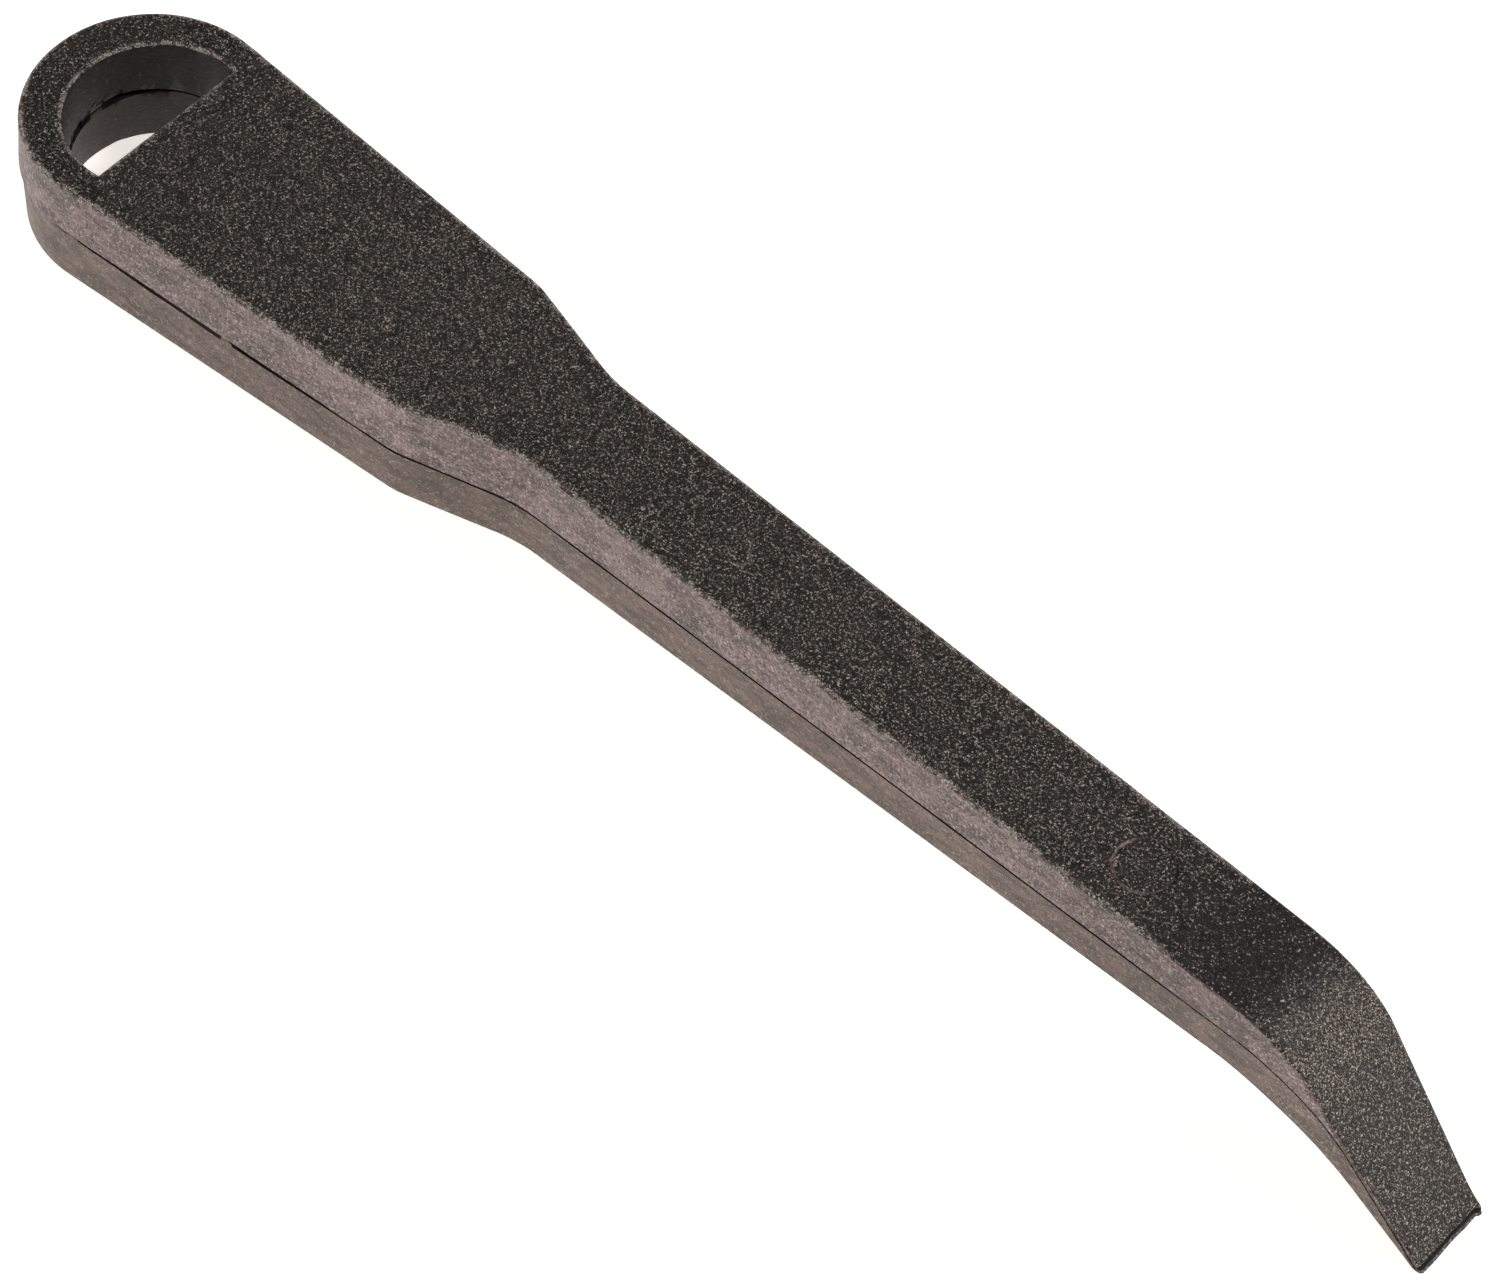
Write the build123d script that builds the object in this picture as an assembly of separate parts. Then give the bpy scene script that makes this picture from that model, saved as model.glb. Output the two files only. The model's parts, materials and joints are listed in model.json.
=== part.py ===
from build123d import *
from math import acos, atan2, cos, degrees, hypot, radians, sin, tan
import os

# A moulded plastic wheel-trim and nut-cap lever. Two cored half shells close on each other
# along a flat joint and are bonded there. It has a round head with a D-shaped eye, a wide
# grip, a slim arm and a wedge-shaped pry tip that is bent down from the arm.
#
# It is modelled in the moulding frame: X runs along the arm from the centre of the head,
# Y runs across, and Z = 0 is the joint between the halves. At the end it is laid on a bench.
# All sizes are in millimetres and all angles in degrees.

# Head and eye, at the joint
head_radius = 17.0        # outer radius of the round head
eye_radius = 11.45        # round side of the eye
eye_shift = 1.3           # centre of the eye, towards the arm
eye_chord = 2.25          # flat side of the eye, from the head's centre
eye_draft = 5.0           # the eye opens towards both faces
head_step = 0.3           # the lower half's head is this much smaller, all round

# Plan of grip, arm and tip, at the joint
shoulder_x = 55.8         # where the grip stops and the neck begins
shoulder_half = 13.45     # half width at the shoulder
shoulder_round = 13.0
neck_x = 72.4             # where the neck meets the arm
neck_half = 8.7
neck_round = 24.0
bend_x = 194.3            # corner of the top face, where the tip turns down
bend_half = 7.7
tip_half = 6.65           # half width of the tip's end
side_blend = 60.0         # plan radius between the arm's side and the tip's side
tip_corner = 1.6          # plan radius at the tip's two corners, at the joint's height
wall_draft = 2.0          # side walls lean in from the joint towards both faces

# Side view
top_head = 8.35           # joint to top face, over the head's centre
top_neck = 9.5            # joint to top face, at the neck
top_bend = 5.55           # joint to top face, at the bend
neck_blend = 260.0        # radius that joins the grip's top face to the arm's
under_head = 9.5          # joint to underside, under the head's centre
under_bend = 5.9          # joint to underside, at the heel
heel_gap = 1.8            # the heel, under the bend, lies this much further out
bend_round = 18.5         # radius of the bend, on the top face
heel_round = 36.0         # radius of the bend, on the underside
joint_round = 24.0        # radius of the bend, along the joint
tip_angle = 49.5          # fall of the tip's face
tip_face = 35.2           # length of the tip's face, from the bend's corner
tip_edge = 0.9            # thickness left at the tip's end
tip_tongue = 0.8          # thickness of the upper half over the tip
edge_round = 0.5          # rounding of the outer edges
eye_round = 0.4           # rounding of the eye's two rims

# Coring, ribs and locating pegs
wall = 2.6                # side walls and the wall behind the eye
skin = 2.2                # face over the cores
rib = 1.8                 # ribs across and the rib along the middle
rib_pitch = 14.0
peg_radius = 2.0          # pegs stand on the upper half
peg_length = 3.2
peg_clear = 0.1           # socket radius beyond the peg's, all round
peg_end_clear = 0.4       # socket depth beyond the peg's end
boss_wall = 1.8           # plastic round each peg and socket
peg_places = 4            # evenly spread from the eye to the bend

# Bond between the halves
bond_gap = 0.3            # thickness of the bond
bond_setback = 0.5        # the bond stops short of the outer walls and of the eye

# Ejector-pin witness on the top face
pin_mark_x = 166.2
pin_mark_radius = 4.1
pin_mark_width = 0.35
pin_mark_depth = 0.15

half_y = 2 * head_radius              # wider than the tool, for every cutting prism
broad_normal = 0.6                    # upright part of the normal, at least, of a broad face
wall_normal = 0.3                     # and at most, of a side wall
back_x = -2 * head_radius             # behind the head
fall = radians(tip_angle)
tip_x = bend_x + tip_face * cos(fall)
tip_top_z = top_bend - tip_face * sin(fall)
tip_edge_height = tip_edge / cos(fall)
heel_x = bend_x + heel_gap
beyond = 1.0                          # the profiles run this far past the tip
above = top_neck + beyond             # heights that clear the tool, for prisms
below = tip_edge_height - tip_top_z + beyond


def outline(radius):
    """Plan of the whole tool at the joint, as a face, for a head of that radius."""
    reach = hypot(shoulder_x, shoulder_half)
    touch = atan2(shoulder_half, shoulder_x) + acos(radius / reach)
    start = (radius * cos(touch), radius * sin(touch))
    side = [start, (shoulder_x, shoulder_half), (neck_x, neck_half), (bend_x, bend_half), (tip_x, tip_half)]
    other_side = [(x, -y) for x, y in reversed(side)]
    rounds = [shoulder_round, neck_round, side_blend, tip_corner]
    flanks = FilletPolyline(*side, *other_side, radius=rounds + rounds[::-1])
    head = ThreePointArc(other_side[-1], (-radius, 0), start)
    return make_face(flanks + head)


def eye_plan(grow=0.0):
    """D-shaped eye at the joint, grown by a margin all round."""
    disc = Pos(eye_shift, 0) * Circle(eye_radius + grow)
    keep = Rectangle(half_y, 2 * half_y, align=(Align.MAX, Align.CENTER))
    return disc & Pos(eye_chord + grow, 0) * keep


def walls(face, draft, side):
    """Extrude a face with draft, up from the joint for side 1 and down from it for side -1."""
    body = extrude(face, below, taper=draft)
    return body if side * body.center().Z > 0 else mirror(body, about=Plane.XY)


def both_ways(upper_face, lower_face, draft):
    """Extrude one face up and another down from the joint, with the same draft."""
    return walls(upper_face, draft, 1) + walls(lower_face, draft, -1)


def slope_point(x0, z0, x1, z1, x):
    return (x, z0 + (z1 - z0) * (x - x0) / (x1 - x0))


def top_path(drop=0.0):
    """Corners of the top face in side view, lowered by an amount square to the face."""
    back = slope_point(0, top_head, neck_x, top_neck, back_x)
    lean = fall - atan2(top_neck - top_bend, bend_x - neck_x)
    corner = (bend_x - drop * tan(lean / 2), top_bend - drop)
    end_x = tip_x + beyond
    end = (end_x, corner[1] - (end_x - corner[0]) * tan(fall))
    return [(back[0], back[1] - drop), (neck_x, top_neck - drop), corner, end]


def under_path(lift=0.0):
    """Corners of the underside in side view, raised by an amount."""
    back = slope_point(0, -under_head, heel_x, -under_bend, back_x)
    end = slope_point(heel_x, -under_bend, tip_x, tip_top_z - tip_edge_height, tip_x + beyond)
    return [(back[0], back[1] + lift), (heel_x - lift, lift - under_bend), (end[0], end[1] + lift)]


def joint_path(shift):
    """Corners of the joint in side view, shifted up or down square to itself."""
    tongue_x = bend_x + top_bend / tan(fall) - tip_tongue / sin(fall)
    mid_end_z = tip_top_z - tip_edge_height / 2
    angle = atan2(-mid_end_z, tip_x - tongue_x)
    corner = (tongue_x + shift * tan(angle / 2), shift)
    end_x = tip_x + beyond
    return [(back_x, shift), corner, (end_x, corner[1] - (end_x - corner[0]) * tan(angle))]


def bent(points, radius):
    return FilletPolyline(*points, radius=radius)


def flat(z):
    return Line((back_x, z), (tip_x + beyond, z))


def between(high, low):
    """Prism across the tool between two lines in side view."""
    ends = [Line(high @ 0, low @ 0), Line(high @ 1, low @ 1)]
    profile = Plane.XZ * make_face([high, low] + ends)
    return extrude(profile, half_y, both=True)


def top_line(drop=0.0):
    return bent(top_path(drop), [neck_blend, bend_round - drop])


def under_line(lift=0.0):
    return bent(under_path(lift), heel_round + lift)


def joint_line(shift):
    return bent(joint_path(shift), joint_round + shift)


def rims(body, upward):
    """Edges where the top face, or the underside, meets the upright walls."""
    broad = [face for face in body.faces() if upward * face.normal_at(face.center()).Z > broad_normal
             and abs(face.center().Z) > edge_round]
    upright = [face for face in body.faces() if abs(face.normal_at(face.center()).Z) < wall_normal]
    wall_edges = ShapeList([edge for face in upright for edge in face.edges()])
    return ShapeList([edge for face in broad for edge in face.edges() if edge in wall_edges])


def rounded(body, upward):
    """Round the rim of one face and of the eye; the thin edge across the tip's end stays sharp."""
    def from_eye(edge):
        return hypot(edge.center().X - eye_shift, edge.center().Y)

    nearest = eye_radius + wall / 2
    body = fillet([edge for edge in rims(body, upward) if from_eye(edge) < nearest], eye_round)
    outer = [edge for edge in rims(body, upward)
             if from_eye(edge) > nearest and edge.center().X < tip_x - tip_corner]
    return fillet(outer, edge_round)


def blank():
    """Solid outer form of the whole tool, with the eye through it."""
    form = both_ways(outline(head_radius), outline(head_radius - head_step), wall_draft)
    form &= between(top_line(), under_line())
    form -= both_ways(eye_plan(), eye_plan(), -eye_draft)
    return rounded(rounded(form, 1), -1)


def peg_xs():
    first = eye_chord + wall + peg_radius + boss_wall
    last = bend_x - joint_round * tan(fall / 2) - peg_radius - boss_wall
    return [first + (last - first) * n / (peg_places - 1) for n in range(peg_places)]


def cores():
    """Plan of the hollow cells, the same in both halves."""
    cells = offset(outline(head_radius), -wall)
    start = eye_chord + wall
    stop = bend_x - joint_round * tan(fall / 2)
    length = stop - start
    cells &= Pos(start, 0) * Rectangle(length, 2 * half_y, align=(Align.MIN, Align.CENTER))
    cells -= Pos(start, 0) * Rectangle(length, rib, align=(Align.MIN, Align.CENTER))
    for n in range(1, int(length / rib_pitch) + 1):
        cells -= Pos(start + n * rib_pitch, 0) * Rectangle(rib, 2 * half_y)
    for x in peg_xs():
        cells -= Pos(x, 0) * Circle(peg_radius + boss_wall)
    return cells


def pin_mark():
    """Shallow ring that an ejector pin leaves on the top face."""
    slope = degrees(atan2(top_neck - top_bend, bend_x - neck_x))
    place = slope_point(neck_x, top_neck, bend_x, top_bend, pin_mark_x)
    ring = Circle(pin_mark_radius) - Circle(pin_mark_radius - pin_mark_width)
    return Pos(place[0], 0, place[1]) * Rot(0, slope, 0) * extrude(ring, pin_mark_depth, both=True)


def upper_half(form, cells):
    body = form & between(top_line(), joint_line(bond_gap / 2))
    hollow = extrude(cells, above, dir=(0, 0, 1)) & between(top_line(skin), flat(-below))
    body = body - hollow - pin_mark()
    for x in peg_xs():
        peg = extrude(Circle(peg_radius), peg_length + bond_gap / 2, dir=(0, 0, -1))
        body += Pos(x, 0, bond_gap / 2) * peg
    return body


def lower_half(form, cells):
    body = form & between(joint_line(-bond_gap / 2), under_line())
    hollow = extrude(cells, below, dir=(0, 0, -1)) & between(flat(above), under_line(skin))
    body = body - hollow
    for x in peg_xs():
        socket = extrude(Circle(peg_radius + peg_clear), peg_length + peg_end_clear, dir=(0, 0, -1))
        body -= Pos(x, 0) * socket
    return body


def seam_bond(cells):
    inset = offset(outline(head_radius - head_step), -bond_setback)
    film = both_ways(inset, inset, wall_draft)
    film -= both_ways(eye_plan(bond_setback), eye_plan(bond_setback), -eye_draft)
    film &= between(joint_line(bond_gap / 2), joint_line(-bond_gap / 2))
    film -= extrude(cells, bond_gap, both=True)
    for x in peg_xs():
        film -= Pos(x, 0) * extrude(Circle(peg_radius + peg_clear), bond_gap, both=True)
    return film


def lay_on_bench(form):
    """Move that rests the head's lower rim and the tip's edge on Z = 0, centred over the origin."""
    rim_x = edge_round + under_head * tan(radians(wall_draft)) - head_radius
    rim_z = slope_point(0, -under_head, heel_x, -under_bend, rim_x)[1]
    lift = degrees(atan2(rim_z - (tip_top_z - tip_edge_height), tip_x - rim_x))
    turn = Rot(0, -lift, 0)
    box = (turn * form).bounding_box()
    return Pos(-box.center().X, -box.center().Y, -box.min.Z) * turn


form = blank()
cells = cores()
place = lay_on_bench(form)
pieces = {
    "upper_half": upper_half(form, cells),
    "lower_half": lower_half(form, cells),
    "seam_bond": seam_bond(cells),
}
os.makedirs("parts", exist_ok=True)
for name, piece in pieces.items():
    export_step(place * piece, f"parts/{name}.step")
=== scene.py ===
import bmesh
import bpy
import json
import math
from mathutils import Matrix, Vector, kdtree, noise


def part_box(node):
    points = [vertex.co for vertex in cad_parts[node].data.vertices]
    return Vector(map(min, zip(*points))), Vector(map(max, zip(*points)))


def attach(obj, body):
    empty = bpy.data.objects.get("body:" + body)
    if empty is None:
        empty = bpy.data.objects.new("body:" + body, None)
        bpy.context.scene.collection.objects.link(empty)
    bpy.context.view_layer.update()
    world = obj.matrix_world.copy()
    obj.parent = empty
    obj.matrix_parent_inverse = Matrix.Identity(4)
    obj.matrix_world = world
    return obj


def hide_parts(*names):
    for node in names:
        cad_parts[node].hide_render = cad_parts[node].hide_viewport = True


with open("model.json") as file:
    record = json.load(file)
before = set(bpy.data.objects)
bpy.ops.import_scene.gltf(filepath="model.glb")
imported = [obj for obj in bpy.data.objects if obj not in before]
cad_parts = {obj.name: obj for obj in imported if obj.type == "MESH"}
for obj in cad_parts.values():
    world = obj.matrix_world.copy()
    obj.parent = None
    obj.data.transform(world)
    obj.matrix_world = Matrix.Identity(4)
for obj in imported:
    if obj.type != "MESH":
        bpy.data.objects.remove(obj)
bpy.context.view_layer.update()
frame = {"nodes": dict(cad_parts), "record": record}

# ---- Upper shell --------------------------------------------------------------------------
# The top moulding, in black glass-filled nylon from a spark-eroded mould. Two shells like it
# meet on one flat joint, which slopes, because the lever lies on the rim of its head and the
# end of its tip. It comes from the mould with rims and an end that use soon rubs and nicks.
mounts = {mount["name"]: mount for mount in frame["record"]["mounts"]}
joint_up = Vector(mounts["eye"]["axis"]).normalized()
joint_place = Vector(mounts["eye"]["pos_m"])
along = Vector((joint_up.z, 0.0, -joint_up.x))
across = Vector((0.0, 1.0, 0.0))
tip_out = Vector(mounts["pry_tip"]["axis"]).normalized()
tip_place = Vector(mounts["pry_tip"]["pos_m"])
shell_low, shell_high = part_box("upper_half")
head_x = shell_low[0] + (shell_high[1] - shell_low[1]) / 2
tip_x = shell_high[0]
bend_x = tip_x - 0.040    # the broad faces are level, along the joint, up to here
weld = 2e-6               # points closer than this are one point

# Cuts, close enough together for the rims to be worn and the end to be dressed.
station = 0.0015          # from one cut across the lever to the next
lane = 0.002              # from one cut along it to the next

# Rims: faces that lean between these two are the rounding between a broad face and a wall. Their rub is
# partly wear and partly a painted highlight.
rim_lean = (0.3, 0.93)
rim_reach = 0.0009        # how far the rub and its painted highlight show on the faces beside a rim
tip_rim_share = 0.45            # share of the rub and painted highlight that the rims past the bend get
rim_wear = 0.00007        # how far a rim is rubbed away, at most
rim_wave = 0.004          # length of the unevenness along it
nick_wear = 0.000484      # how far it is cut away in a nick
nick_wave = 0.0028        # length of the stretch that a nick falls in
nick_above = 0.36         # higher is fewer nicks
nick_shift = Vector((7, 3, 1))

# Pry edge: drawn out, longer in the middle and at the near corner, with a nib of flash at the
# far corner. The upper shell stops short of the lower one's lip, in a small step painted dark as shadow;
# the lower one's end face is painted in shade and its rounded edges with a highlight.
end_zone = 0.0022         # stretch that is drawn out with the edge
tip_crown = 0.00058       # extra length in the middle,
crown_y = 0.0080          # and how far from the middle that ends
corner_y = 0.0050         # the nib starts this far from the middle,
corner_width = 0.0010     # and is full this much further
corner_flash = 0.0013     # its length
corner_out = 0.0005       # and how far it stands out sideways
near_long = 0.0007        # extra length at the near corner,
near_y = 0.0060           # which is this far from the middle
ragged_end = 0.00008
ragged_wave = 0.0011
upper_short = 0.00045
step_width = 0.00028
step_depth = 0.00020
lip_rise = 0.00010        # the shell curls up by this much at its end
end_facing = 0.7          # the end's own faces, painted in shade, look out of the tip at least this much,
lip_facing = 0.6          # and with their rounded edges, painted with a highlight, this much

# Joint: its edge is broken a little all round, stands open along the near side of the grip,
# and gapes in the eye, most on the side that gape_side points to.
joint_zone = 0.0002       # points this near the joint belong to its edge
wall_lean = 0.1           # walls are the faces that look up or down by less than this, squared
joint_wear = 0.00016
joint_wave = 0.009
gap_open = 0.0010
gap_x = head_x + 0.020    # it is widest here
gap_reach = 0.022
gap_even = 0.55           # share of the gap that doesn't vary with the broken edge
eye_zone = 0.0135         # walls of the eye lie within this distance of the head's centre,
chord_x = head_x + 0.003  # and before this
round_x = head_x + 0.001  # the round wall alone ends here
eye_gape = 0.0007
gape_side = Vector((-0.92, -0.39, 0.0))
edge_shade = 0.0008       # broken edges this near the joint lie in its shadow

# An ejector pin's round witness on the arm, which shows along the half that mark_side is on.
mark_place = joint_place + along * 0.1702 + joint_up * 0.0064
mark_radius = 0.0039
mark_width = 0.00025
mark_side = Vector((-0.6, -0.8, 0.0))

# Painted highlight and shade on the grain along the lever: a painted highlight on the crest of the bend
# and a little on the tip, and painted shade on the flat just before the crest and on the ring round the eye.
crest_x = tip_x - 0.0218
crest_reach = 0.0042
crest_gain = 0.12
flat_x = tip_x - 0.0335
flat_reach = 0.0130
flat_loss = 0.08
ring_reach = 0.014
ring_loss = 0.03
tip_gain = 0.03

# Finishes and painted light, in the order of a shell's material slots: broad faces, walls painted paler for
# the light they catch, the eye's walls in painted shade, and painted shadow at the joint's edge and the pry
# end. A face's lean is how far it looks up or down, from 0 to 1.
broad_slot, wall_slot, eye_slot, shadow_slot = range(4)
broad_lean = 0.5          # broad faces lean more than this,
broken_lean = 0.15        # and broken edges of the joint more than this


def cut_once(bm, place, direction):
    """Cut a mesh with one plane."""
    geometry = bm.verts[:] + bm.edges[:] + bm.faces[:]
    bmesh.ops.bisect_plane(bm, geom=geometry, dist=weld / 2, plane_co=place, plane_no=direction)


def cut_across(bm, step, direction):
    """Cut a mesh with parallel planes, one step apart."""
    reach = [direction.dot(vert.co) for vert in bm.verts]
    place = math.floor(min(reach) / step) * step + step / 2
    while place < max(reach):
        if place > min(reach):
            cut_once(bm, direction * place, direction)
        place += step


def sideways(normal, x):
    """How far a normal leans towards the outline, from 0 on a broad face to 1 on a wall."""
    if x > bend_x:
        return abs(normal.y)
    return math.sqrt(max(0.0, 1.0 - normal.dot(joint_up) ** 2))


def swell(x, middle, reach):
    """1 at the middle, falling to nothing on both sides."""
    return math.exp(-((x - middle) / reach) ** 2)


def drift(place, wave, shift=Vector()):
    """Slow change from 0 to 1 over the shell."""
    return 0.5 + 0.5 * noise.noise(place / wave + shift)


def painted_grain_light(x):
    """Painted highlight on the grain where above 0 and painted shade where below 0, at this distance along
    the lever.
    """
    crest = swell(x, crest_x, crest_reach)
    flat = swell(x, flat_x, flat_reach) * (1 - crest)
    ring = 1.0 if x < head_x else swell(x, head_x, ring_reach)
    past_crest = tip_gain if x > crest_x else 0.0
    return crest_gain * crest - flat_loss * flat - ring_loss * ring + past_crest


def end_move(place, side):
    """How far a point near the pry edge is drawn out."""
    share = (place.x - (tip_x - end_zone)) / end_zone
    crown = max(0.0, 1.0 - (place.y / crown_y) ** 2)
    corner = max(0.0, place.y - corner_y) / corner_width
    near_corner = max(0.0, -place.y / near_y)
    longer = tip_crown * crown + corner_flash * corner + near_long * near_corner
    longer += ragged_end * noise.noise(place / ragged_wave)
    if side > 0:
        longer -= upper_short
    move = (tip_out * longer + across * corner_out * corner) * share ** 2
    if side > 0:
        move += joint_up * lip_rise * share ** 6
        if (place - tip_place).dot(tip_out) > -step_width / 2:
            move -= joint_up * step_depth
    return move


def joint_move(place, side):
    """How far a point on the joint's outer edge stands back from the joint."""
    radial = Vector((place.x - head_x, place.y, 0.0))
    if radial.length < eye_zone and place.x < round_x:
        gape = max(0.0, radial.normalized().dot(gape_side))
        return joint_up * side * eye_gape * gape ** 1.5
    broken = drift(place, joint_wave, Vector((0, 0, 5 * side)))
    move = joint_up * side * joint_wear * broken ** 2
    if side < 0 and place.y < 0:
        open_here = swell(place.x, gap_x, gap_reach) * (gap_even + (1 - gap_even) * broken)
        move -= joint_up * gap_open * open_here
    return move


def shell_copy(node, wear_scale, side):
    """A worn copy of a shell; side is 1 above the joint and -1 below it.

    Its points keep how near they are to a rim, as rim, set to 1 on the end's rounded edges for a painted
    highlight, and the painted highlight and shade on the grain along the lever.
    """
    bm = bmesh.new()
    bm.from_mesh(frame["nodes"][node].data)
    bmesh.ops.remove_doubles(bm, verts=bm.verts, dist=weld)
    cut_across(bm, station, Vector((1, 0, 0)))
    cut_across(bm, lane, across)
    if side > 0:
        cut_once(bm, tip_place - tip_out * step_width, tip_out)
    bm.normal_update()
    rim = bm.verts.layers.float.new("rim")
    grain_light_paint = bm.verts.layers.float.new("grain_light_paint")

    for face in bm.faces:
        # the upper shell's step is painted dark as shadow, and the lower shell's end face as shade
        end = (face.calc_center_median() - tip_place).dot(tip_out)
        if end > -step_width and (side > 0 or face.normal.dot(tip_out) > end_facing):
            face.material_index = shadow_slot

    rims = [vert for vert in bm.verts
            if any(rim_lean[0] < sideways(face.normal, vert.co.x) < rim_lean[1] for face in vert.link_faces)]
    tree = kdtree.KDTree(len(rims))
    for number, vert in enumerate(rims):
        tree.insert(vert.co, number)
    tree.balance()
    for vert in bm.verts:
        gap = tree.find(vert.co)[2]
        vert[rim] = swell(gap, 0.0, rim_reach) * (tip_rim_share if vert.co.x > bend_x else 1.0)
        # painted highlight and shade on the grain along the lever
        vert[grain_light_paint] = painted_grain_light(vert.co.x)

    moves = {}
    for vert in rims:
        nick = max(0.0, noise.noise(vert.co / nick_wave + nick_shift) - nick_above)
        worn_away = rim_wear * drift(vert.co, rim_wave) + nick_wear * nick
        moves[vert] = -vert.normal * worn_away * wear_scale
    for vert in bm.verts:
        if vert.co.x > tip_x - end_zone:
            moves[vert] = end_move(vert.co, side)
            # the end's rounded edges get full rim rub: a painted highlight
            if any(face.normal.dot(tip_out) > lip_facing for face in vert.link_faces):
                vert[rim] = 1.0
        height = (vert.co - joint_place).dot(joint_up)
        outside = any(face.normal.dot(joint_up) ** 2 < wall_lean for face in vert.link_faces)
        if abs(height) < joint_zone and outside and vert.co.x < bend_x:
            moves[vert] = joint_move(vert.co, side)
    for vert, move in moves.items():
        vert.co += move

    mesh = bpy.data.meshes.new(node + "_moulding")
    bm.to_mesh(mesh)
    bm.free()
    return mesh


def smooth_faces(piece, sharp=32.0):
    """Smooth shading that keeps flat faces flat and edges crisp."""
    piece.data.shade_smooth()
    piece.data.set_sharp_from_angle(angle=math.radians(sharp))
    weighted = piece.modifiers.new("flat_faces", "WEIGHTED_NORMAL")
    weighted.keep_sharp = True
    weighted.mode = "FACE_AREA"


def add_node(tree, kind, settings=(), **inputs):
    """A shader node with its settings and inputs; a socket given as an input is linked.

    Inputs go by name, with _ for a space, or by number, as n0 and n1.
    """
    made = tree.nodes.new(kind)
    for key, value in dict(settings).items():
        setattr(made, key, value)
    for key, value in inputs.items():
        numbered = key[0] == "n" and key[1:].isdigit()
        socket = made.inputs[int(key[1:]) if numbered else key.replace("_", " ")]
        if isinstance(value, bpy.types.NodeSocket):
            tree.links.new(value, socket)
        else:
            socket.default_value = value
    return made


def arithmetic(tree, operation, first, second):
    return add_node(tree, "ShaderNodeMath", {"operation": operation}, n0=first, n1=second).outputs[0]


def ramp(tree, value, low, high, start=0.0, end=1.0):
    """Value mapped smoothly from low..high to start..end."""
    return add_node(tree, "ShaderNodeMapRange", {"interpolation_type": "SMOOTHSTEP"}, Value=value,
                    From_Min=low, From_Max=high, To_Min=start, To_Max=end).outputs[0]


def new_group(name, inputs, outputs):
    """An empty node group with float sockets; returns its tree, input sockets and output node."""
    group = bpy.data.node_groups.new(name, "ShaderNodeTree")
    for label, value in inputs.items():
        socket = group.interface.new_socket(label, in_out="INPUT", socket_type="NodeSocketFloat")
        socket.default_value = value
    for label in outputs:
        group.interface.new_socket(label, in_out="OUTPUT", socket_type="NodeSocketFloat")
    return group, group.nodes.new("NodeGroupInput").outputs, group.nodes.new("NodeGroupOutput").inputs


def spark_grain_group():
    """Grain of a spark-eroded mould: close wormy ridges, broken into pips, some painted bright as glints,
    with the hollows painted dark as shade.

    Pitch is the size of the grain, and Share is how much of it is painted bright as glints.
    """
    tree, given, out = new_group("spark_grain", {"Pitch": 0.0004, "Share": 0.3},
                                 ["Height", "SpeckGlint", "Pit"])
    where = add_node(tree, "ShaderNodeTexCoord").outputs["Object"]
    scale = arithmetic(tree, "DIVIDE", 1.0, given["Pitch"])
    coarse = arithmetic(tree, "MULTIPLY", scale, 0.62)
    fine = arithmetic(tree, "MULTIPLY", scale, 1.15)
    worms = add_node(tree, "ShaderNodeTexNoise", Vector=where, Scale=scale, Detail=1.5,
                     Distortion=0.5).outputs[0]
    breaks = add_node(tree, "ShaderNodeTexNoise", Vector=where, Scale=coarse, Detail=2.0).outputs[1]
    broken = add_node(tree, "ShaderNodeSeparateColor", Color=breaks)
    pips = add_node(tree, "ShaderNodeTexVoronoi", Vector=where, Scale=fine)
    pip = ramp(tree, pips.outputs["Distance"], 0.1, 0.75, 1.0, 0.0)
    ridge = ramp(tree, worms, 0.44, 0.62)
    height = arithmetic(tree, "ADD", ridge, arithmetic(tree, "MULTIPLY", pip, 0.55))
    bar = arithmetic(tree, "SUBTRACT", 0.72, given["Share"])
    over = arithmetic(tree, "SUBTRACT", arithmetic(tree, "MULTIPLY", broken.outputs["Green"], 1.1), bar)
    chosen = ramp(tree, over, -0.04, 0.08)
    # painted glints on the chosen pips, partly abraded peaks
    speck = arithmetic(tree, "MULTIPLY", arithmetic(tree, "MULTIPLY", ridge, chosen),
                       ramp(tree, pips.outputs["Distance"], 0.15, 0.6, 1.0, 0.15))
    tree.links.new(height, out["Height"])
    tree.links.new(speck, out["SpeckGlint"])
    # painted shade in the grain's hollows
    tree.links.new(ramp(tree, worms, 0.33, 0.47, 1.0, 0.0), out["Pit"])
    return tree


def mould_tone_group():
    """Slow change of tone over a moulding: cloudy patches drawn out along the flow."""
    tree, given, out = new_group("mould_tone", {"Patch": 0.012, "Draw": 1.0}, ["Tone", "Cloud"])
    where = add_node(tree, "ShaderNodeTexCoord").outputs["Object"]
    stretch = add_node(tree, "ShaderNodeCombineXYZ", X=given["Draw"], Y=1.0, Z=1.0).outputs[0]
    flow = add_node(tree, "ShaderNodeVectorMath", {"operation": "MULTIPLY"}, n0=where,
                    n1=stretch).outputs[0]
    scale = arithmetic(tree, "DIVIDE", 1.0, given["Patch"])
    slow = add_node(tree, "ShaderNodeTexNoise", Vector=flow, Scale=scale, Detail=3.0,
                    Roughness=0.6).outputs[0]
    fine = arithmetic(tree, "MULTIPLY", scale, 9.0)
    quick = add_node(tree, "ShaderNodeTexNoise", Vector=flow, Scale=fine, Detail=2.0,
                     Roughness=0.6).outputs[0]
    tree.links.new(ramp(tree, quick, 0.3, 0.7), out["Tone"])
    tree.links.new(ramp(tree, slow, 0.32, 0.68), out["Cloud"])
    return tree


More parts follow.
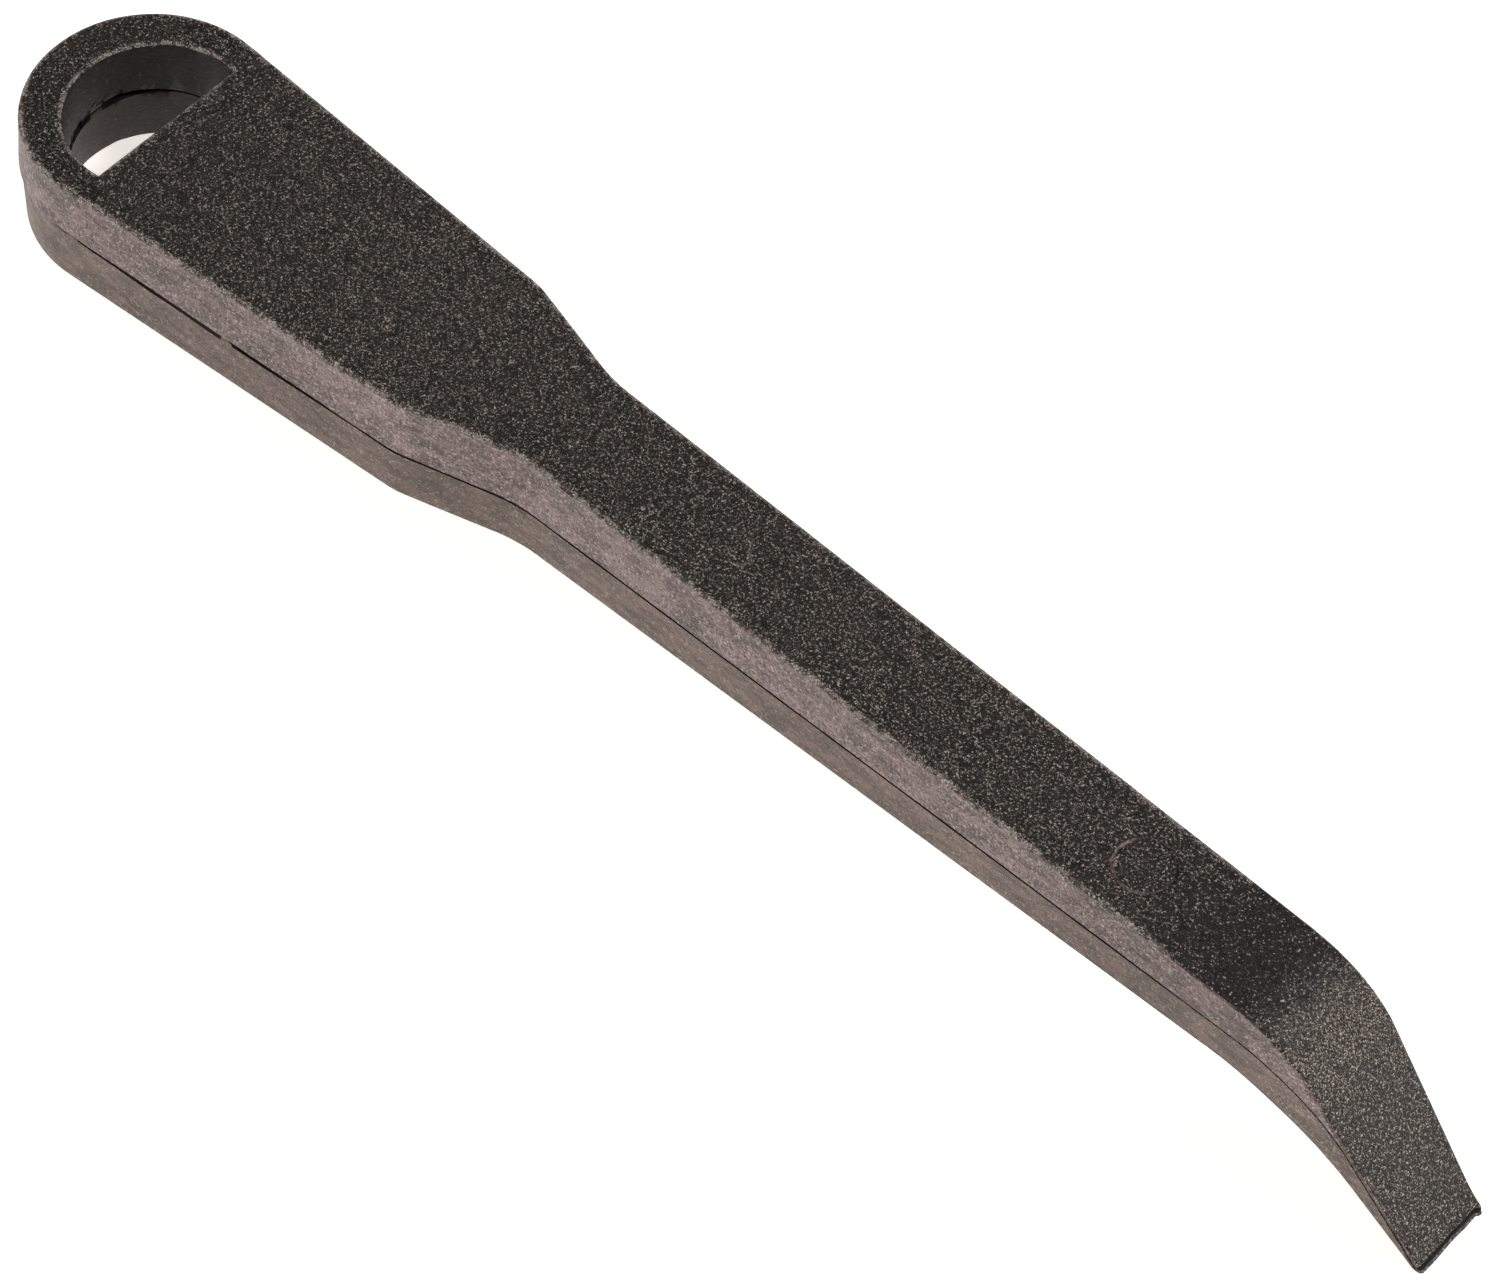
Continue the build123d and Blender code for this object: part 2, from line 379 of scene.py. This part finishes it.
def rim_rub_and_highlight_group():
    """Rub along the rims, partly wear and partly a painted highlight, broken up so that it comes and goes;
    Break is the length of a piece.
    """
    tree, given, out = new_group("rim_rub_and_highlight", {"Break": 0.003}, ["Rub"])
    where = add_node(tree, "ShaderNodeTexCoord").outputs["Object"]
    near = add_node(tree, "ShaderNodeAttribute", {"attribute_name": "rim"}).outputs["Fac"]
    patchy = add_node(tree, "ShaderNodeTexNoise", Vector=where, Detail=2.0,
                      Scale=arithmetic(tree, "DIVIDE", 1.0, given["Break"])).outputs[0]
    narrow = arithmetic(tree, "POWER", near, 9.0)
    rub_and_highlight = arithmetic(tree, "MULTIPLY", narrow, ramp(tree, patchy, 0.40, 0.62, 0.1, 1.0))
    tree.links.new(rub_and_highlight, out["Rub"])
    return tree


def hair_scratch_group():
    """Short curved hairline scratches, few and far between."""
    tree, given, out = new_group("hair_scratch", {"Spacing": 0.02, "Width": 0.003}, ["Scratch"])
    where = add_node(tree, "ShaderNodeTexCoord").outputs["Object"]
    scale = arithmetic(tree, "DIVIDE", 1.0, given["Spacing"])
    bend = add_node(tree, "ShaderNodeTexNoise", Vector=where, Scale=scale, Detail=1.0).outputs["Color"]
    sway = add_node(tree, "ShaderNodeVectorMath", {"operation": "SCALE"}, n0=bend,
                    Scale=0.018).outputs[0]
    bent = add_node(tree, "ShaderNodeVectorMath", {"operation": "ADD"}, n0=where, n1=sway).outputs[0]
    lines = add_node(tree, "ShaderNodeTexVoronoi", {"feature": "DISTANCE_TO_EDGE"}, Vector=bent,
                     Scale=scale)
    line = add_node(tree, "ShaderNodeMapRange", Value=lines.outputs["Distance"], From_Min=0.0,
                    From_Max=given["Width"], To_Min=1.0, To_Max=0.0).outputs[0]
    part = add_node(tree, "ShaderNodeTexNoise", Vector=where, Detail=0.0,
                    Scale=arithmetic(tree, "MULTIPLY", scale, 2.3)).outputs[0]
    tree.links.new(arithmetic(tree, "MULTIPLY", line, ramp(tree, part, 0.665, 0.70)), out["Scratch"])
    return tree


spark_grain = spark_grain_group()
mould_tone = mould_tone_group()
rim_rub_and_highlight = rim_rub_and_highlight_group()
hair_scratch = hair_scratch_group()


def place_group(tree, group, **values):
    """The outputs of a node group that is placed in a material with its own values."""
    return add_node(tree, "ShaderNodeGroup", {"node_tree": group}, **values).outputs


def blend(tree, share, first, second):
    """Colour that goes from first to second; either may be a colour or a socket."""
    mix = add_node(tree, "ShaderNodeMix", {"data_type": "RGBA"})
    tree.links.new(share, mix.inputs[0])
    for socket, value in ((mix.inputs[6], first), (mix.inputs[7], second)):
        if isinstance(value, bpy.types.NodeSocket):
            tree.links.new(value, socket)
        else:
            socket.default_value = (*value, 1)
    return mix.outputs[2]


# colour of the painted shade in the grain's hollows
pit_shade_tone = (0.004, 0.0035, 0.003)
cloud_dark = 0.45         # how far the cloudy patches go towards the dark tone
cloud_dull = 0.10         # and how much rougher they are
rub_highlight_pips = 0.6            # extra bright pips, painted glints, where a rim is rubbed and painted with a highlight,
rub_highlight_tone = 0.4            # how far its tone goes towards theirs
rub_polish = 0.10         # and how much smoother it is
hair_depth = 0.6          # depth of a hairline scratch, against the grain's height


def moulded(name, dark, pale, glint_rub_and_scratch_tone, pitch, depth, share, rough, pits=0.7, draw=1.0, scratch=0.5,
            rub_and_highlight=0.5, gloss=0.5):
    """Moulded nylon. Its tone drifts from dark to pale, and its grain hollows are painted shade. Its pips
    (painted glints, partly abraded peaks), rims (rub with a painted highlight) and scratches share one pale
    tone.

    pitch, depth and share are the grain's; pits, scratch and the rim rub are how strong the painted pit
    shade, the scratches and the rub with its painted highlight are; draw below 1 draws the tone out along
    the lever.
    """
    mat = bpy.data.materials.new(name)
    mat.use_nodes = True
    tree = mat.node_tree
    shader = tree.nodes["Principled BSDF"]
    tone = place_group(tree, mould_tone, Patch=0.014, Draw=draw)
    # rim rub: partly wear, partly a painted highlight
    rub_and_highlight_mask = place_group(tree, rim_rub_and_highlight, Break=0.0011)["Rub"]
    rub_and_highlight_mask = arithmetic(tree, "MULTIPLY", rub_and_highlight_mask, rub_and_highlight)
    speck_glint_share = arithmetic(tree, "MULTIPLY_ADD", rub_and_highlight_mask, rub_highlight_pips)
    speck_glint_share.node.inputs[2].default_value = share
    # the painted highlight and shade on the grain along the lever, kept on the shell's points
    grain_light_paint = add_node(tree, "ShaderNodeAttribute", {"attribute_name": "grain_light_paint"}).outputs["Fac"]
    speck_glint_share = arithmetic(tree, "ADD", speck_glint_share, grain_light_paint)
    grain = place_group(tree, spark_grain, Pitch=pitch, Share=speck_glint_share)
    hairs = place_group(tree, hair_scratch, Spacing=0.017, Width=0.0060)["Scratch"]
    hairs = arithmetic(tree, "MULTIPLY", hairs, scratch)
    body = blend(tree, tone["Tone"], dark, pale)
    body = blend(tree, arithmetic(tree, "MULTIPLY", tone["Cloud"], cloud_dark), body, dark)
    # rims taken towards the pale tone: rub and painted highlight
    body = blend(tree, arithmetic(tree, "MULTIPLY", rub_and_highlight_mask, rub_highlight_tone), body, glint_rub_and_scratch_tone)
    # painted shade in the grain's hollows
    body = blend(tree, arithmetic(tree, "MULTIPLY", grain["Pit"], pits), body, pit_shade_tone)
    # painted glints on the chosen pips, partly abraded peaks
    body = blend(tree, grain["SpeckGlint"], body, glint_rub_and_scratch_tone)
    body = blend(tree, hairs, body, glint_rub_and_scratch_tone)
    tree.links.new(body, shader.inputs["Base Color"])
    dull = arithmetic(tree, "MULTIPLY_ADD", tone["Cloud"], cloud_dull)
    dull.node.inputs[2].default_value = rough - cloud_dull / 2
    dull = arithmetic(tree, "SUBTRACT", dull, arithmetic(tree, "MULTIPLY", rub_and_highlight_mask, rub_polish))
    tree.links.new(dull, shader.inputs["Roughness"])
    grooves = arithmetic(tree, "MULTIPLY", hairs, hair_depth)
    relief = arithmetic(tree, "SUBTRACT", grain["Height"], grooves)
    bump = add_node(tree, "ShaderNodeBump", Height=relief, Distance=depth)
    tree.links.new(bump.outputs[0], shader.inputs["Normal"])
    shader.inputs["Specular IOR Level"].default_value = gloss
    return mat


grained = moulded("grained_face", dark=(0.004, 0.0035, 0.003), pale=(0.017, 0.014, 0.012),
                  glint_rub_and_scratch_tone=(0.66, 0.585, 0.535), pitch=0.00023, depth=0.00008, share=0.18, rough=0.36,
                  scratch=0.12, rub_and_highlight=0.7, gloss=0.24)
# walls painted far paler than the broad faces, for the light they catch
drawn_lit_wall = moulded("drawn_wall_painted_light", dark=(0.036, 0.024, 0.024), pale=(0.175, 0.121, 0.121),
                glint_rub_and_scratch_tone=(0.34, 0.28, 0.27), pitch=0.00042, depth=0.00007, share=0.27, rough=0.46,
                pits=0.75, draw=0.35, scratch=0.3, rub_and_highlight=0.4)
# painted shadow along the joint and at the pry end, near black
joint_shadow_paint = moulded("joint_shadow_paint", dark=(0.003, 0.0025, 0.002), pale=(0.006, 0.005, 0.004),
                     glint_rub_and_scratch_tone=(0.02, 0.02, 0.02), pitch=0.0004, depth=0.00002, share=0.05, rough=0.7,
                     scratch=0.0, rub_and_highlight=0.0, gloss=0.1)
# the eye's walls, painted dark for the shade inside the eye
eye_wall_shade = moulded("eye_wall_shade", dark=(0.006, 0.005, 0.004), pale=(0.012, 0.010, 0.008),
                   glint_rub_and_scratch_tone=(0.09, 0.08, 0.07), pitch=0.0005, depth=0.00002, share=0.06, rough=0.50,
                   draw=0.5, scratch=0.15, rub_and_highlight=0.2)


def finish_faces(piece, broad, wall, eye):
    """Give the broad faces and the outer walls their finishes, the walls painted paler for light, and paint
    shade on the eye's walls and shadow on the joint's edge.
    """
    for mat in (broad, wall, eye, joint_shadow_paint):
        piece.data.materials.append(mat)
    for face in piece.data.polygons:
        lean = abs(face.normal.dot(joint_up))
        height = abs((face.center - joint_place).dot(joint_up))
        reach = math.hypot(face.center.x - head_x, face.center.y)
        from_mark = face.center - mark_place
        on_mark = abs(from_mark.length - mark_radius) < mark_width and from_mark.dot(mark_side) > 0.0
        # faces by the joint get the painted shadow
        at_joint = lean > broken_lean and height < edge_shade and face.center.x < bend_x
        if at_joint or face.material_index == shadow_slot:
            face.material_index = shadow_slot
        elif on_mark:
            face.material_index = wall_slot
        elif lean > broad_lean:
            face.material_index = broad_slot
        elif reach < eye_zone and face.center.x < chord_x:
            face.material_index = eye_slot
        else:
            face.material_index = wall_slot


upper_shell = bpy.data.objects.new("upper_shell", shell_copy("upper_half", wear_scale=1.0, side=1))
bpy.context.collection.objects.link(upper_shell)
finish_faces(upper_shell, grained, drawn_lit_wall, eye_wall_shade)
smooth_faces(upper_shell)
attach(upper_shell, "root")
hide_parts("upper_half")

# ---- Lower shell --------------------------------------------------------------------------
# The bottom moulding, from the same mould set. Its walls are a little browner, and painted darker than the
# upper walls as shade on the band that faces down, though still paler than its broad faces for painted
# light. It is less rubbed, because the hand and the bench touch only its rim.
lower_grained = moulded("lower_grained_face", dark=(0.009, 0.008, 0.007), pale=(0.024, 0.020, 0.017),
                        glint_rub_and_scratch_tone=(0.36, 0.31, 0.28), pitch=0.00044, depth=0.00013, share=0.26, rough=0.46,
                        rub_and_highlight=1.0)
# lower walls: painted light, less than on the upper walls, for the shade on the band that faces down
lower_drawn_lit_wall = moulded("lower_drawn_wall_painted_light", dark=(0.036, 0.023, 0.018), pale=(0.118, 0.082, 0.066),
                      glint_rub_and_scratch_tone=(0.26, 0.20, 0.16), pitch=0.00042, depth=0.00005, share=0.18, rough=0.48,
                      pits=0.5, draw=0.35, scratch=0.2, rub_and_highlight=0.3)
# the lower eye wall, painted dark for shade and warm for the bench's bounce light
lower_eye_wall_shade = moulded("lower_eye_wall_shade", dark=(0.014, 0.006, 0.005), pale=(0.036, 0.017, 0.013),
                         glint_rub_and_scratch_tone=(0.12, 0.09, 0.08), pitch=0.0005, depth=0.00002, share=0.06,
                         rough=0.50, draw=0.5, scratch=0.15, rub_and_highlight=0.2, gloss=0.35)
lower_shell = bpy.data.objects.new("lower_shell", shell_copy("lower_half", wear_scale=0.7, side=-1))
bpy.context.collection.objects.link(lower_shell)
finish_faces(lower_shell, lower_grained, lower_drawn_lit_wall, lower_eye_wall_shade)
smooth_faces(lower_shell)
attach(lower_shell, "root")
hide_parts("lower_half")

# ---- Seam bead ----------------------------------------------------------------------------
# The bond between the shells, laid as a thin bead that is squeezed out when they are closed.
# It fills the joint unevenly: nearly to the wall in places, and well back from it in others.
bead_spread = 0.00044     # furthest that the bead is squeezed towards the wall
bead_even = 0.12          # share of it that is squeezed out everywhere,
bead_uneven = 0.9         # share that comes and goes along the joint,
bead_wave = 0.007
bead_shift = Vector((3, 1, 4))
bead_filled = 0.7         # and share that is squeezed out at the shoulder
filled_x = head_x + 0.050
filled_reach = 0.010
edge_level = 0.4          # points of the bead's edge have a normal at least this level
along_side = 0.8          # and on the lever's two sides it points across this much


def bead_mesh():
    """The bond, with its outer edge squeezed out unevenly along the sides and round the head."""
    bm = bmesh.new()
    bm.from_mesh(frame["nodes"]["seam_bond"].data)
    bmesh.ops.remove_doubles(bm, verts=bm.verts, dist=weld)
    cut_across(bm, station, Vector((1, 0, 0)))
    bm.normal_update()
    for vert in bm.verts:
        level = Vector((vert.normal.x, vert.normal.y, 0.0))
        reach = math.hypot(vert.co.x - head_x, vert.co.y)
        if level.length < edge_level or reach < eye_zone or vert.co.x > bend_x:
            continue
        squeeze = bead_even + bead_filled * swell(vert.co.x, filled_x, filled_reach)
        squeeze += bead_uneven * noise.noise(vert.co / bead_wave + bead_shift)
        if abs(level.normalized().y) > along_side or vert.co.x < head_x:
            vert.co += level.normalized() * bead_spread * min(1.0, max(0.0, squeeze))
    mesh = bpy.data.meshes.new("seam_bead")
    bm.to_mesh(mesh)
    bm.free()
    return mesh


bond = moulded("bond_line", dark=(0.006, 0.005, 0.005), pale=(0.016, 0.012, 0.011),
               glint_rub_and_scratch_tone=(0.06, 0.05, 0.05), pitch=0.0003, depth=0.00002, share=0.05, rough=0.40,
               draw=0.3, scratch=0.0, rub_and_highlight=0.0)
seam_bead = bpy.data.objects.new("seam_bead", bead_mesh())
bpy.context.collection.objects.link(seam_bead)
seam_bead.data.materials.append(bond)
smooth_faces(seam_bead)
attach(seam_bead, "root")
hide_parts("seam_bond")

# ---- Bench and light ----------------------------------------------------------------------
# A plain pale bench top that glows a little, so that it stays almost white. Soft light comes
# from the front and the right, and a smaller light from behind the tip makes its face shine.
bench_reach = 3.0
bench_clear = 0.0002      # it lies this far below the lever, so that their faces don't meet
bench_mesh = bpy.data.meshes.new("bench")
bm = bmesh.new()
bmesh.ops.create_grid(bm, x_segments=1, y_segments=1, size=bench_reach)
bm.to_mesh(bench_mesh)
bm.free()
bench = bpy.data.objects.new("bench", bench_mesh)
bpy.context.collection.objects.link(bench)
bench.location.z = -bench_clear
paper = bpy.data.materials.new("bench_paper")
paper.use_nodes = True
sheet = paper.node_tree.nodes["Principled BSDF"]
sheet.inputs["Base Color"].default_value = (0.9, 0.87, 0.84, 1)
sheet.inputs["Roughness"].default_value = 0.9
sheet.inputs["Emission Color"].default_value = (1.0, 0.945, 0.90, 1)
sheet.inputs["Emission Strength"].default_value = 0.74
bench.data.materials.append(paper)


def soft_light(name, place, size, power, colour):
    """A round soft light that faces the lever."""
    data = bpy.data.lights.new(name, "AREA")
    data.shape = "DISK"
    data.size = size
    data.energy = power
    data.color = colour
    light = bpy.data.objects.new(name, data)
    light.location = place
    light.rotation_euler = (-Vector(place)).to_track_quat("-Z", "Y").to_euler()
    bpy.context.collection.objects.link(light)


soft_light("front_light", place=(-0.5, -1.2, 0.6), size=0.9, power=14, colour=(1.0, 0.96, 0.93))
soft_light("key_light", place=(0.41, 0.46, 0.79), size=0.2, power=6.5, colour=(1.0, 0.96, 0.92))
soft_light("right_light", place=(1.2, 0.5, 0.5), size=0.7, power=6, colour=(1.0, 0.96, 0.93))

world = bpy.data.worlds.new("studio")
world.use_nodes = True
world.node_tree.nodes["Background"].inputs["Color"].default_value = (1.0, 0.93, 0.87, 1)
world.node_tree.nodes["Background"].inputs["Strength"].default_value = 0.22
bpy.context.scene.world = world
bpy.context.scene.view_settings.view_transform = "Standard"

# ---- Camera -------------------------------------------------------------------------------
# A long lens that looks down on the lever from beyond its near side, rolled a little, so that
# the head is at the upper left and the tip at the lower right.
aim = Vector((0.00547, -0.00207, 0.012))
distance = 0.8726
azimuth, elevation, roll = math.radians(-53.98), math.radians(55.43), math.radians(7.83)
camera_data = bpy.data.cameras.new("camera")
camera_data.lens = 171.1
camera_data.sensor_width = 36.0
camera = bpy.data.objects.new("camera", camera_data)
back = Vector((math.cos(elevation) * math.cos(azimuth), math.cos(elevation) * math.sin(azimuth),
               math.sin(elevation)))
level = Vector((-math.sin(azimuth), math.cos(azimuth), 0))
upright = back.cross(level)
right = level * math.cos(roll) + upright * math.sin(roll)
turn = Matrix((right, back.cross(right), back)).transposed()
camera.matrix_world = Matrix.Translation(aim + back * distance) @ turn.to_4x4()
bpy.context.collection.objects.link(camera)
bpy.context.scene.camera = camera
